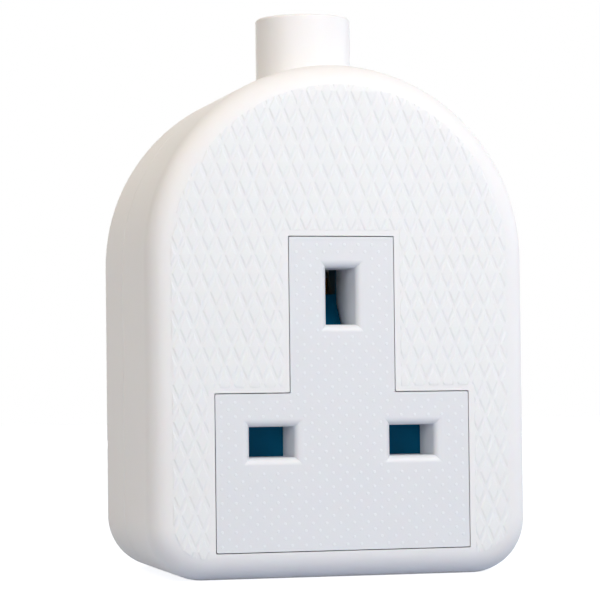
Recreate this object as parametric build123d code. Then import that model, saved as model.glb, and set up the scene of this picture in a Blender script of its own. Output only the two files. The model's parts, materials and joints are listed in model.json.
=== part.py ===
from build123d import *
import math
import os

# A single three-pin trailing socket, in millimetres.
# It stands on its base: +Z points up to the cable neck and the plug face looks along -Y.
# Depths are counted from the plug face towards the back, heights from the base.

# Body
BODY_WIDTH = 60.0
BODY_DEPTH = 42.0
DOME_CENTRE_HEIGHT = 49.1
BASE_CORNER_RADIUS = 8.5
EDGE_ROUNDING = 4.3
WALL = 2.4
FRONT_WALL = 3.0
CAVITY_ROUNDING = 1.0

# Parting line between the two shells
SEAM_DEPTH = 22.5
SEAM_GAP = 0.1
LIP_REACH = 1.8
LIP_WALL = 1.1
LIP_ROOT = 3.0
LIP_CLEARANCE = 0.15

# Cable neck
NECK_RADIUS = 7.65
NECK_BORE_RADIUS = 5.25
NECK_RISE = 9.6
NECK_RIM_ROUNDING = 0.5
PASSAGE_RELIEF = 0.4

# Flat-pin pattern: line and neutral side by side, earth above them
PIN_PITCH = 22.2
LIVE_SLOT_WIDTH = 7.1
LIVE_SLOT_HEIGHT = 4.7
EARTH_SLOT_WIDTH = 4.7
EARTH_SLOT_HEIGHT = 8.7
LIVE_PIN_THICKNESS = 4.0
EARTH_PIN_THICKNESS = 4.0
EARTH_PIN_HEIGHT = 8.0
LIVE_PIN_LENGTH = 17.7
EARTH_PIN_LENGTH = 22.7
SLOT_LEAD_IN = 1.2
PIN_WINDOW_MARGIN = 0.15

# Inverted-T face insert
INSERT_BASE_WIDTH = 40.0
INSERT_STEM_WIDTH = 16.5
INSERT_BELOW_PINS = 16.6
INSERT_SHOULDER_ABOVE_PINS = 7.4
INSERT_TOP_ABOVE_PINS = 31.3
INSERT_CORNER_RADIUS = 0.2
WINDOW_GAP = 0.15
FLANGE_MARGIN = 0.8
FLANGE_THICKNESS = 5.2
FLANGE_CLEARANCE = 0.1
INSERT_WALL = 1.6
SLEEVE_WALL = 1.4
EARTH_GUIDE_REACH = 3.9
EARTH_GUIDE_WALL = 1.25

# Safety shutter and its return spring
SHUTTER_THICKNESS = 2.0
SHUTTER_FRONT_GAP = 0.2
SHUTTER_BACK_GAP = 0.3
SHUTTER_SIDE_GAP = 0.3
SHUTTER_OVERLAP = 0.55
SHUTTER_SIDE_OVERLAP = 1.0
SHUTTER_OPEN_MARGIN = 0.25
SHUTTER_STEM_WIDTH = 9.0
RAMP_RISE = 4.9
RAMP_HEEL = 3.4
FRAME_DEPTH = 4.2
FRAME_RAIL_WALL = 1.2
FRAME_BAR_HEIGHT = 1.6
FRAME_PIN_CLEARANCE = 0.3
SPRING_COIL_RADIUS = 1.85
SPRING_WIRE_RADIUS = 0.25
SPRING_WIRE_SIDES = 6
SPRING_LENGTH = 15.0
SPRING_COILS = 7
SPRING_END_GAP = 0.05
SPRING_SPIGOT_RADIUS = 1.2
SPRING_SPIGOT_LENGTH = 1.8
SPRING_CLEARANCE = 1.2
LUG_THICKNESS = 1.5
LUG_ROOT = 6.0

# Contact carrier
CARRIER_PLATE = 2.2
CARRIER_WALL = 1.4
CHANNEL_CLEARANCE = 0.4
CHANNEL_FLOOR = 2.0
SPACER_WALL = 1.4

# Contacts and terminals
CONTACT_STRIP = 0.8
CONTACT_WIDTH = 6.0
CONTACT_FLARE = 0.7
CONTACT_MOUTH = 2.2
CONTACT_ROOM = 0.3
PIN_END_ROOM = 1.6
EARTH_CONTACT_HEIGHT = 7.0
TERMINAL_WIDTH = 7.0
TERMINAL_HEIGHT = 10.0
TERMINAL_WIRE_RADIUS = 1.8
TERMINAL_ABOVE_PINS = 10.1
EARTH_TERMINAL_ABOVE_PIN = 9.0
TERMINAL_CHAMFER = 0.4

# Cable clamp
CLAMP_BELOW_DOME_TOP = 10.1
CLAMP_SCREW_SPACING = 18.6
CLAMP_HEIGHT = 4.8
CLAMP_THICKNESS = 2.6
CLAMP_END_MARGIN = 3.3
CLAMP_GRIP_RADIUS = 4.6
CLAMP_GRIP_RELIEF = 0.65
CLAMP_CORNER_RADIUS = 1.2
SADDLE_WALL = 1.8

# Screws and the bosses that take them
BOSS_RADIUS = 2.6
BOSS_MARGIN = 0.15
BOSS_RIB = 1.2
SCREW_FIT = 0.05
SCREW_CLEARANCE = 0.25
COVER_SCREW_HEIGHT = 11.0
COVER_SCREW_DOME_ANGLE = 42.0
COVER_SCREW_SEAT = 3.5
COVER_SCREW_LENGTH = 12.0
COVER_BORE_WALL = 1.2
CARRIER_SCREW_SPACING = 27.0
CARRIER_SCREW_ABOVE_EARTH = 4.9
CARRIER_SCREW_LENGTH = 6.0
INSERT_BOSS_RADIUS = 2.2
INSERT_BOSS_GAP = 0.5
CLAMP_SCREW_LENGTH = 10.0
TERMINAL_SCREW_LENGTH = 3.4
THREAD_RADIUS = 1.2
HEAD_RADIUS = 2.4
HEAD_HEIGHT = 1.7
HEAD_CHAMFER = 0.4
TIP_CHAMFER = 0.6
DRIVE_WIDTH = 0.7
DRIVE_DEPTH = 0.9

# Heights worked out from the sizes above
face_y = -BODY_DEPTH / 2
body_half = BODY_WIDTH / 2
dome_top = DOME_CENTRE_HEIGHT + body_half
neck_top = dome_top + NECK_RISE
insert_bottom = WALL + CAVITY_ROUNDING + FLANGE_CLEARANCE + FLANGE_MARGIN
pin_row = insert_bottom + INSERT_BELOW_PINS
earth_height = pin_row + PIN_PITCH
pin_x = PIN_PITCH / 2

# Depths worked out from the sizes above
insert_back = FRONT_WALL + FLANGE_THICKNESS
shutter_front = insert_back + SHUTTER_FRONT_GAP
shutter_back = shutter_front + SHUTTER_THICKNESS
carrier_front = shutter_back + SHUTTER_BACK_GAP
plate_back = carrier_front + CARRIER_PLATE
frame_front = insert_back + EARTH_GUIDE_REACH + SHUTTER_FRONT_GAP
frame_back = frame_front + FRAME_DEPTH
channel_back = frame_back + CHANNEL_CLEARANCE
spine_back = channel_back + CARRIER_WALL

# Shutter positions
shutter_travel = LIVE_SLOT_HEIGHT + SHUTTER_OVERLAP + SHUTTER_OPEN_MARGIN
blade_bottom = pin_row - LIVE_SLOT_HEIGHT / 2 - SHUTTER_OVERLAP
blade_top = pin_row + LIVE_SLOT_HEIGHT / 2 + SHUTTER_OVERLAP
blade_half = pin_x + LIVE_SLOT_WIDTH / 2 + SHUTTER_SIDE_OVERLAP
earth_slot_bottom = earth_height - EARTH_SLOT_HEIGHT / 2
ramp_bottom = earth_slot_bottom + SHUTTER_SIDE_GAP / 2
ramp_top = ramp_bottom + RAMP_RISE
frame_inner_half = EARTH_PIN_THICKNESS / 2 + FRAME_PIN_CLEARANCE
frame_half = frame_inner_half + FRAME_RAIL_WALL
frame_window_top = earth_height + EARTH_PIN_HEIGHT / 2 + shutter_travel + FRAME_PIN_CLEARANCE
frame_top = frame_window_top + FRAME_BAR_HEIGHT
channel_half = frame_half + CHANNEL_CLEARANCE
channel_top = frame_top + CHANNEL_CLEARANCE
spring_outer_radius = SPRING_COIL_RADIUS + SPRING_WIRE_RADIUS
spring_depth = shutter_back + SPRING_CLEARANCE + spring_outer_radius
lug_bottom = blade_top + SHUTTER_OPEN_MARGIN
spring_floor = lug_bottom - SPRING_LENGTH

# Contact positions
live_mouth = plate_back + CONTACT_ROOM
live_web = LIVE_PIN_LENGTH + PIN_END_ROOM
earth_mouth = spine_back + CONTACT_ROOM
earth_web = EARTH_PIN_LENGTH + PIN_END_ROOM
tower_half = CONTACT_WIDTH / 2 + CONTACT_ROOM + CARRIER_WALL
tower_room = LIVE_PIN_THICKNESS / 2 + CONTACT_FLARE + CONTACT_STRIP + CONTACT_ROOM
tower_half_height = tower_room + CARRIER_WALL
spine_half = max(channel_half + CARRIER_WALL, pin_x - tower_half)
live_terminal_bottom = pin_row + TERMINAL_ABOVE_PINS
earth_terminal_bottom = earth_height + EARTH_TERMINAL_ABOVE_PIN

# Clamp and screw places
clamp_height = dome_top - CLAMP_BELOW_DOME_TOP
clamp_x = CLAMP_SCREW_SPACING / 2
clamp_seat = SEAM_DEPTH + CLAMP_GRIP_RADIUS
cover_screw_x = INSERT_BASE_WIDTH / 2 + WINDOW_GAP + BOSS_MARGIN + BOSS_RADIUS
dome_angle = math.radians(COVER_SCREW_DOME_ANGLE)
dome_screw_x = cover_screw_x * math.cos(dome_angle)
dome_screw_height = DOME_CENTRE_HEIGHT + cover_screw_x * math.sin(dome_angle)
carrier_screw_height = earth_height + CARRIER_SCREW_ABOVE_EARTH
insert_screw_x = blade_half + SHUTTER_SIDE_GAP + SPACER_WALL
insert_screw_height = blade_bottom - shutter_travel - INSERT_BOSS_GAP - INSERT_BOSS_RADIUS
carrier_screw_x = CARRIER_SCREW_SPACING / 2
cover_seat = SEAM_DEPTH + COVER_SCREW_SEAT
counterbore_radius = HEAD_RADIUS + SCREW_CLEARANCE

SIDES = {"left": -1, "right": 1}


def slab(profile, near, far):
    """A front-view profile made solid between two depths."""
    sketch = Plane.XZ.offset(-(face_y + far)) * profile
    return extrude(sketch, far - near, dir=(0, -1, 0))


def side_bar(points, left, right):
    """A profile drawn from the side, as (depth, height) points, made solid between two x values."""
    outline = Polygon(*[(face_y + depth, height) for depth, height in points], align=None)
    return extrude(Plane.YZ.offset(left) * outline, right - left, dir=(1, 0, 0))


def block(left, right, near, far, bottom, top):
    """A box between x, depth and height limits."""
    centre = Pos((left + right) / 2, face_y + (near + far) / 2, (bottom + top) / 2)
    return centre * Box(right - left, far - near, top - bottom)


def post(x, height, radius, near, far):
    """A round post that runs along the depth axis."""
    rod = Cylinder(radius, far - near, align=(Align.CENTER, Align.CENTER, Align.MIN))
    return Pos(x, face_y + near, height) * Rot(-90, 0, 0) * rod


def column(radius, bottom, top, depth):
    """A round column that runs upwards on the centre line."""
    rod = Cylinder(radius, top - bottom, align=(Align.CENTER, Align.CENTER, Align.MIN))
    return Pos(0, face_y + depth, bottom) * rod


def rectangle(left, right, bottom, top):
    """A front-view rectangle between limits."""
    return Pos((left + right) / 2, (bottom + top) / 2) * Rectangle(right - left, top - bottom)


def arch(inset=0.0):
    """The body's front outline, moved inwards: a flat base, rounded corners and a half-round top."""
    half = body_half - inset
    lower = rectangle(-half, half, inset, DOME_CENTRE_HEIGHT)
    corners = lower.vertices().sort_by(Axis.Y)[:2]
    lower = fillet(corners, BASE_CORNER_RADIUS - inset)
    return lower + Pos(0, DOME_CENTRE_HEIGHT) * Circle(half)


def tee(margin=0.0):
    """The inverted T of the face insert, with a margin on every side."""
    base = rectangle(
        -INSERT_BASE_WIDTH / 2 - margin,
        INSERT_BASE_WIDTH / 2 + margin,
        insert_bottom - margin,
        pin_row + INSERT_SHOULDER_ABOVE_PINS + margin,
    )
    stem = rectangle(
        -INSERT_STEM_WIDTH / 2 - margin,
        INSERT_STEM_WIDTH / 2 + margin,
        insert_bottom - margin,
        pin_row + INSERT_TOP_ABOVE_PINS + margin,
    )
    outline = base + stem
    return fillet(outline.vertices(), INSERT_CORNER_RADIUS)


def pin_windows(margin=0.0):
    """The three pin openings, with a margin on every side."""
    live = Rectangle(LIVE_SLOT_WIDTH + 2 * margin, LIVE_SLOT_HEIGHT + 2 * margin)
    earth = Rectangle(EARTH_SLOT_WIDTH + 2 * margin, EARTH_SLOT_HEIGHT + 2 * margin)
    windows = Pos(0, earth_height) * earth
    for side in SIDES.values():
        windows += Pos(side * pin_x, pin_row) * live
    return windows


def cover_screw_places():
    """Name and place of each screw that holds the rear cover."""
    places = {}
    for name, side in SIDES.items():
        places["lower_" + name] = (side * cover_screw_x, COVER_SCREW_HEIGHT)
        places["upper_" + name] = (side * dome_screw_x, dome_screw_height)
    return places


def boss_ribs(near, far):
    """A level rib from each cover screw's boss to the side wall or the dome."""
    reach = body_half - WALL / 2
    ribs = []
    for x, height in cover_screw_places().values():
        rise = max(height - DOME_CENTRE_HEIGHT, 0)
        wall_x = math.copysign(math.sqrt(reach**2 - rise**2), x)
        left, right = sorted((x, wall_x))
        ribs.append(block(left, right, near, far, height - BOSS_RIB / 2, height + BOSS_RIB / 2))
    return ribs


def body_form():
    """The outer form of both shells together, with the cable neck."""
    form = slab(arch(), 0, BODY_DEPTH)
    by_depth = form.faces().sort_by(Axis.Y)
    form = fillet(by_depth[0].edges() + by_depth[-1].edges(), EDGE_ROUNDING)
    neck = column(NECK_RADIUS, DOME_CENTRE_HEIGHT, neck_top, SEAM_DEPTH)
    neck = fillet(neck.edges().sort_by(Axis.Z)[-1], NECK_RIM_ROUNDING)
    return form + neck


def body_cavity():
    """The space inside both shells together, with the way out for the cable."""
    cavity = slab(arch(WALL), FRONT_WALL, BODY_DEPTH - WALL)
    by_depth = cavity.faces().sort_by(Axis.Y)
    cavity = fillet(by_depth[0].edges() + by_depth[-1].edges(), CAVITY_ROUNDING)
    bore_start = dome_top - WALL + PASSAGE_RELIEF
    bore = column(NECK_BORE_RADIUS, bore_start, neck_top, SEAM_DEPTH)
    passage = column(NECK_BORE_RADIUS + PASSAGE_RELIEF, DOME_CENTRE_HEIGHT, bore_start, SEAM_DEPTH)
    return cavity + bore + passage


def front_casing():
    """The front shell: window for the insert, screw bosses and the cable saddle."""
    shell = body_form() - body_cavity()
    shell &= block(-body_half, body_half, 0, SEAM_DEPTH, 0, neck_top)
    boss_top = SEAM_DEPTH - SEAM_GAP
    rib_top = SEAM_DEPTH - LIP_REACH - 2 * LIP_CLEARANCE
    for x, height in cover_screw_places().values():
        shell += post(x, height, BOSS_RADIUS, FRONT_WALL, boss_top)
    shell += boss_ribs(FRONT_WALL, rib_top)
    for side in SIDES.values():
        carrier_x = side * carrier_screw_x
        shell += post(carrier_x, carrier_screw_height, BOSS_RADIUS, FRONT_WALL, carrier_front)
        shell += post(side * clamp_x, clamp_height, BOSS_RADIUS, FRONT_WALL, clamp_seat)
    saddle = block(
        -clamp_x,
        clamp_x,
        FRONT_WALL,
        SEAM_DEPTH,
        clamp_height - SADDLE_WALL / 2,
        clamp_height + SADDLE_WALL / 2,
    )
    shell += saddle - column(CLAMP_GRIP_RADIUS, DOME_CENTRE_HEIGHT, dome_top, SEAM_DEPTH)
    hole = THREAD_RADIUS + SCREW_FIT
    for x, height in cover_screw_places().values():
        shell -= post(x, height, hole, cover_seat - COVER_SCREW_LENGTH - SEAM_GAP, SEAM_DEPTH)
    for side in SIDES.values():
        carrier_tip = plate_back - CARRIER_SCREW_LENGTH - SEAM_GAP
        carrier_x = side * carrier_screw_x
        shell -= post(carrier_x, carrier_screw_height, hole, carrier_tip, carrier_front)
        clamp_tip = clamp_seat + CLAMP_THICKNESS - CLAMP_SCREW_LENGTH - SEAM_GAP
        shell -= post(side * clamp_x, clamp_height, hole, clamp_tip, clamp_seat)
    return shell - slab(tee(WINDOW_GAP), 0, FRONT_WALL)


def rear_cover():
    """The rear shell: a lip that registers in the front shell and deep bores for its screws."""
    cavity = body_cavity()
    shell = body_form() - cavity
    shell &= block(-body_half, body_half, SEAM_DEPTH, BODY_DEPTH, 0, neck_top)
    lip_outer = WALL + LIP_CLEARANCE
    lip_inner = lip_outer + LIP_WALL
    lip = slab(arch(lip_outer) - arch(lip_inner), SEAM_DEPTH - LIP_REACH, SEAM_DEPTH)
    lip += slab(arch(WALL / 2) - arch(lip_inner), SEAM_DEPTH, SEAM_DEPTH + LIP_ROOT)
    passage = column(NECK_BORE_RADIUS + PASSAGE_RELIEF, DOME_CENTRE_HEIGHT, dome_top, SEAM_DEPTH)
    lip -= passage
    for x, height in cover_screw_places().values():
        lip -= post(x, height, BOSS_RADIUS + LIP_CLEARANCE, SEAM_DEPTH - LIP_REACH, SEAM_DEPTH)
    shell += lip
    shell += boss_ribs(SEAM_DEPTH + LIP_ROOT, BODY_DEPTH - WALL / 2)
    for x, height in cover_screw_places().values():
        shell += post(x, height, counterbore_radius + COVER_BORE_WALL, SEAM_DEPTH, BODY_DEPTH - WALL / 2)
    for x, height in cover_screw_places().values():
        shell -= post(x, height, THREAD_RADIUS + SCREW_CLEARANCE, SEAM_DEPTH, cover_seat)
        shell -= post(x, height, counterbore_radius, cover_seat, BODY_DEPTH)
    return shell


def socket_face():
    """The face insert: three sleeved pin slots, hollow behind, and guides for the shutter."""
    rail = blade_half + SHUTTER_SIDE_GAP
    stem_guide_bottom = blade_top + 2 * SPACER_WALL
    face = slab(tee(), 0, FRONT_WALL) + slab(tee(FLANGE_MARGIN), FRONT_WALL, insert_back)
    hollow = rectangle(-rail, rail, insert_bottom + INSERT_WALL, stem_guide_bottom)
    hollow -= rectangle(-SLEEVE_WALL / 2, SLEEVE_WALL / 2, insert_bottom, stem_guide_bottom)
    face -= slab(hollow - pin_windows(SLEEVE_WALL), FRONT_WALL, insert_back)
    face -= slab(pin_windows(), 0, insert_back)
    rims = []
    for wire in face.faces().sort_by(Axis.Y)[0].inner_wires():
        rims += wire.edges()
    face = fillet(rims, SLOT_LEAD_IN)
    guide_inner = EARTH_SLOT_WIDTH / 2
    guide_outer = guide_inner + EARTH_GUIDE_WALL
    guide_far = insert_back + EARTH_GUIDE_REACH
    guide_bottom = earth_slot_bottom - SHUTTER_SIDE_GAP
    guide_top = earth_height + EARTH_SLOT_HEIGHT / 2 + EARTH_GUIDE_WALL
    stem_guide = SHUTTER_STEM_WIDTH / 2 + SHUTTER_SIDE_GAP
    rail_bottom = blade_bottom - shutter_travel - SPACER_WALL
    stop_bottom = blade_top + SHUTTER_OPEN_MARGIN
    for side in SIDES.values():
        left, right = sorted((side * guide_inner, side * guide_outer))
        face += block(left, right, insert_back, guide_far, guide_bottom, guide_top)
        left, right = sorted((side * stem_guide, side * (stem_guide + SPACER_WALL)))
        face += block(left, right, insert_back, carrier_front, stem_guide_bottom, guide_top)
        left, right = sorted((side * rail, side * (rail + SPACER_WALL)))
        face += block(left, right, insert_back, carrier_front, rail_bottom, stop_bottom + SPACER_WALL)
        left, right = sorted((side * pin_x, side * (rail + SPACER_WALL)))
        face += block(left, right, FRONT_WALL, carrier_front, stop_bottom, stop_bottom + SPACER_WALL)
        screw_x = side * insert_screw_x
        face += post(screw_x, insert_screw_height, INSERT_BOSS_RADIUS, FRONT_WALL, carrier_front)
    hole = THREAD_RADIUS + SCREW_FIT
    for side in SIDES.values():
        tip = plate_back - CARRIER_SCREW_LENGTH - SEAM_GAP
        face -= post(side * insert_screw_x, insert_screw_height, hole, tip, carrier_front)
        notch = BOSS_RADIUS + WINDOW_GAP
        face -= post(side * cover_screw_x, COVER_SCREW_HEIGHT, notch, FRONT_WALL, insert_back)
    return face


def shutter():
    """The sliding shutter: blades behind the live slots and a ramp that the earth pin pushes down."""
    stem_top = earth_slot_bottom - 2 * SHUTTER_SIDE_GAP
    stem_half = SHUTTER_STEM_WIDTH / 2
    front_view = rectangle(-blade_half, blade_half, blade_bottom, blade_top)
    front_view += rectangle(-stem_half, stem_half, blade_bottom, stem_top)
    body = slab(front_view, shutter_front, shutter_back)
    ramp_half = EARTH_SLOT_WIDTH / 2 - SHUTTER_SIDE_GAP
    ramp_foot = stem_top - FRAME_DEPTH
    ramp = [
        (shutter_front, ramp_foot),
        (shutter_front, ramp_bottom),
        (frame_front, ramp_top),
        (frame_back, ramp_top),
        (frame_back, ramp_top - RAMP_HEEL),
        (shutter_back, ramp_foot),
    ]
    body += side_bar(ramp, -ramp_half, ramp_half)
    frame = rectangle(-frame_half, frame_half, ramp_top - 2 * FRAME_BAR_HEIGHT, frame_top)
    frame -= rectangle(-frame_inner_half, frame_inner_half, ramp_top, frame_window_top)
    body += slab(frame, frame_front, frame_back)
    lug_far = spring_depth + spring_outer_radius
    lug = [
        (shutter_back, lug_bottom),
        (lug_far, lug_bottom),
        (lug_far, lug_bottom + LUG_THICKNESS),
        (shutter_back, lug_bottom + LUG_ROOT),
    ]
    body += side_bar(lug, -spring_outer_radius, spring_outer_radius)
    body += column(SPRING_SPIGOT_RADIUS, lug_bottom - SPRING_SPIGOT_LENGTH, lug_bottom, spring_depth)
    return body


def shutter_spring():
    """The compression spring that pushes the shutter up and closed."""
    height = SPRING_LENGTH - 2 * (SPRING_WIRE_RADIUS + SPRING_END_GAP)
    path = Helix(height / SPRING_COILS, height, SPRING_COIL_RADIUS)
    start = Plane(origin=path @ 0, z_dir=path % 0)
    coil = sweep(start * RegularPolygon(SPRING_WIRE_RADIUS, SPRING_WIRE_SIDES), path=path)
    foot = spring_floor + SPRING_WIRE_RADIUS + SPRING_END_GAP
    return Pos(0, face_y + spring_depth, foot) * coil


def contact_carrier():
    """The moulding behind the shutter: contact towers, spring channel and terminal pedestals."""
    wing_half = insert_screw_x + HEAD_RADIUS
    wing_bottom = insert_screw_height - HEAD_RADIUS
    wing_top = pin_row + INSERT_SHOULDER_ABOVE_PINS + FLANGE_MARGIN
    arm_half = carrier_screw_x + BOSS_RADIUS
    arm_top = carrier_screw_height + BOSS_RADIUS
    spine_top = channel_top + CARRIER_WALL
    plate = rectangle(-wing_half, wing_half, wing_bottom, wing_top)
    plate += rectangle(-arm_half, arm_half, wing_bottom, arm_top)
    plate += rectangle(-spine_half, spine_half, wing_bottom, spine_top)
    carrier = slab(plate, carrier_front, plate_back)
    spine_bottom = spring_floor - CHANNEL_FLOOR
    carrier += block(-spine_half, spine_half, carrier_front, spine_back, spine_bottom, spine_top)
    for side in SIDES.values():
        x = side * pin_x
        tower = block(
            x - tower_half,
            x + tower_half,
            plate_back,
            live_web,
            pin_row - tower_half_height,
            pin_row + tower_half_height,
        )
        pedestal = block(
            x - TERMINAL_WIDTH / 2,
            x + TERMINAL_WIDTH / 2,
            plate_back,
            live_web,
            live_terminal_bottom,
            live_terminal_bottom + TERMINAL_HEIGHT,
        )
        carrier += tower + pedestal
    earth_half_height = EARTH_SLOT_HEIGHT / 2 + PIN_WINDOW_MARGIN + CARRIER_WALL
    carrier += block(
        -spine_half,
        spine_half,
        spine_back,
        earth_web,
        earth_height - earth_half_height,
        earth_height + earth_half_height,
    )
    carrier += block(
        -TERMINAL_WIDTH / 2,
        TERMINAL_WIDTH / 2,
        spine_back,
        earth_web,
        earth_terminal_bottom,
        spine_top,
    )
    carrier -= block(-channel_half, channel_half, carrier_front, channel_back, spring_floor, channel_top)
    carrier -= slab(pin_windows(PIN_WINDOW_MARGIN), carrier_front, spine_back)
    for side in SIDES.values():
        x = side * pin_x
        carrier -= block(
            x - tower_half + CARRIER_WALL,
            x + tower_half - CARRIER_WALL,
            plate_back,
            live_web,
            pin_row - tower_room,
            pin_row + tower_room,
        )
        carrier -= block(
            x - TERMINAL_WIDTH / 2 + CARRIER_WALL,
            x + TERMINAL_WIDTH / 2 - CARRIER_WALL,
            plate_back,
            live_web,
            live_terminal_bottom + CARRIER_WALL,
            live_terminal_bottom + TERMINAL_HEIGHT - CARRIER_WALL,
        )
        hole = THREAD_RADIUS + SCREW_CLEARANCE
        carrier_x = side * carrier_screw_x
        carrier -= post(carrier_x, carrier_screw_height, hole, carrier_front, plate_back)
        insert_x = side * insert_screw_x
        carrier -= post(insert_x, insert_screw_height, hole, carrier_front, plate_back)
    carrier -= block(
        -spine_half + CARRIER_WALL,
        spine_half - CARRIER_WALL,
        spine_back,
        earth_web,
        earth_height - earth_half_height + CARRIER_WALL,
        earth_height + earth_half_height - CARRIER_WALL,
    )
    spigot_top = spring_floor + SPRING_SPIGOT_LENGTH
    return carrier + column(SPRING_SPIGOT_RADIUS, spring_floor, spigot_top, spring_depth)


def spring_clip(half_gap, mouth, web, tail_end):
    """The folded strip of a contact, as (depth, offset) points: flared mouth, two leaves and a tail."""
    outer = half_gap + CONTACT_STRIP
    pinch = mouth + CONTACT_MOUTH
    return [
        (mouth, half_gap + CONTACT_FLARE),
        (pinch, half_gap),
        (web, half_gap),
        (web, -half_gap),
        (pinch, -half_gap),
        (mouth, -half_gap - CONTACT_FLARE),
        (mouth, -outer - CONTACT_FLARE),
        (pinch, -outer),
        (web + CONTACT_STRIP, -outer),
        (web + CONTACT_STRIP, tail_end),
        (web, tail_end),
        (web, outer),
        (pinch, outer),
        (mouth, outer + CONTACT_FLARE),
    ]


def live_contact(side):
    """The line or neutral contact: its leaves grip the pin from above and below."""
    tail_end = live_terminal_bottom + TERMINAL_HEIGHT - pin_row
    profile = spring_clip(LIVE_PIN_THICKNESS / 2, live_mouth, live_web, tail_end)
    points = [(depth, pin_row + offset) for depth, offset in profile]
    centre = side * pin_x
    return side_bar(points, centre - CONTACT_WIDTH / 2, centre + CONTACT_WIDTH / 2)


def earth_contact():
    """The earth contact: its leaves grip the pin from both sides and its tail runs up."""
    outer = EARTH_PIN_THICKNESS / 2 + CONTACT_STRIP
    profile = spring_clip(EARTH_PIN_THICKNESS / 2, earth_mouth, earth_web, outer)
    outline = Polygon(*[(offset, face_y + depth) for depth, offset in profile], align=None)
    bottom = earth_height - EARTH_CONTACT_HEIGHT / 2
    clip = extrude(Plane.XY.offset(bottom) * outline, EARTH_CONTACT_HEIGHT, dir=(0, 0, 1))
    tail_top = earth_terminal_bottom + TERMINAL_HEIGHT
    return clip + block(-outer, outer, earth_web, earth_web + CONTACT_STRIP, bottom, tail_top)


def terminal(x, near, bottom):
    """A brass terminal block with a wire hole from top to bottom and a screw hole at the back."""
    far = near + TERMINAL_WIDTH
    half = TERMINAL_WIDTH / 2
    body = block(x - half, x + half, near, far, bottom, bottom + TERMINAL_HEIGHT)
    body = chamfer(body.edges().filter_by(Axis.Z), TERMINAL_CHAMFER)
    wire_hole = Pos(x, 0, 0) * column(TERMINAL_WIRE_RADIUS, bottom, bottom + TERMINAL_HEIGHT, near + half)
    screw_hole = post(x, bottom + TERMINAL_HEIGHT / 2, THREAD_RADIUS + SCREW_FIT, near + half, far)
    return body - wire_hole - screw_hole


def screw(x, height, seat, length, cross):
    """A screw that points to the plug face, with its head on a seat and a cross or one slot in it."""
    shank = post(x, height, THREAD_RADIUS, seat - length, seat)
    shank = chamfer(shank.edges().sort_by(Axis.Y)[0], TIP_CHAMFER)
    head = post(x, height, HEAD_RADIUS, seat, seat + HEAD_HEIGHT)
    head = chamfer(head.edges().sort_by(Axis.Y)[-1], HEAD_CHAMFER)
    near = seat + HEAD_HEIGHT - DRIVE_DEPTH
    far = seat + HEAD_HEIGHT
    half = DRIVE_WIDTH / 2
    reach = HEAD_RADIUS - 2 * HEAD_CHAMFER if cross else HEAD_RADIUS
    drive = block(x - reach, x + reach, near, far, height - half, height + half)
    if cross:
        drive += block(x - half, x + half, near, far, height - reach, height + reach)
    return shank + head - drive


def cord_clamp():
    """The bar that holds the cable's sheath down on the saddle."""
    half = clamp_x + CLAMP_END_MARGIN
    outline = rectangle(-half, half, clamp_height - CLAMP_HEIGHT / 2, clamp_height + CLAMP_HEIGHT / 2)
    outline = fillet(outline.vertices(), CLAMP_CORNER_RADIUS)
    bar = slab(outline, clamp_seat, clamp_seat + CLAMP_THICKNESS)
    grip = CLAMP_GRIP_RADIUS + CLAMP_GRIP_RELIEF
    bar -= column(grip, DOME_CENTRE_HEIGHT, dome_top, SEAM_DEPTH)
    for side in SIDES.values():
        hole = THREAD_RADIUS + SCREW_CLEARANCE
        bar -= post(side * clamp_x, clamp_height, hole, clamp_seat, clamp_seat + CLAMP_THICKNESS)
    return bar


def screws():
    """Every screw, by node name."""
    made = {}
    for place, (x, height) in cover_screw_places().items():
        made["cover_screw_" + place] = screw(x, height, cover_seat, COVER_SCREW_LENGTH, True)
    for name, side in SIDES.items():
        carrier_x = side * carrier_screw_x
        insert_x = side * insert_screw_x
        made["carrier_screw_upper_" + name] = screw(
            carrier_x, carrier_screw_height, plate_back, CARRIER_SCREW_LENGTH, True
        )
        made["carrier_screw_lower_" + name] = screw(
            insert_x, insert_screw_height, plate_back, CARRIER_SCREW_LENGTH, True
        )
        clamp_back = clamp_seat + CLAMP_THICKNESS
        made["cord_clamp_screw_" + name] = screw(
            side * clamp_x, clamp_height, clamp_back, CLAMP_SCREW_LENGTH, True
        )
    return made


def wiring():
    """Contacts, terminal blocks and terminal screws, by node name."""
    live_near = live_web + CONTACT_STRIP
    earth_near = earth_web + CONTACT_STRIP
    places = {
        "line": (pin_x, live_near, live_terminal_bottom),
        "neutral": (-pin_x, live_near, live_terminal_bottom),
        "earth": (0, earth_near, earth_terminal_bottom),
    }
    made = {
        "line_contact": live_contact(1),
        "neutral_contact": live_contact(-1),
        "earth_contact": earth_contact(),
    }
    for name, (x, near, bottom) in places.items():
        made[name + "_terminal"] = terminal(x, near, bottom)
        seat = near + TERMINAL_WIDTH
        height = bottom + TERMINAL_HEIGHT / 2
        made[name + "_terminal_screw"] = screw(x, height, seat, TERMINAL_SCREW_LENGTH, False)
    return made


parts = {
    "front_casing": front_casing(),
    "rear_cover": rear_cover(),
    "socket_face": socket_face(),
    "shutter": shutter(),
    "shutter_spring": shutter_spring(),
    "contact_carrier": contact_carrier(),
    "cord_clamp": cord_clamp(),
}
parts.update(wiring())
parts.update(screws())

os.makedirs("parts", exist_ok=True)
for node, shape in parts.items():
    export_step(shape, "parts/" + node + ".step")
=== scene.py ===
# %% [markdown]
# A single trailing socket, dressed for a studio picture.
# The CAD model is loaded first and stays where it is, because every length in it is already right.
# Blender adds what a drawing leaves out: the fine line of the seam, the moulded diamonds, the
# speckle of the hard insert, threads, a round-wire spring, surface finishes, light and a camera.

import json
import math

import bmesh
import bpy
from mathutils import Matrix, Vector
from mathutils.kdtree import KDTree


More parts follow.
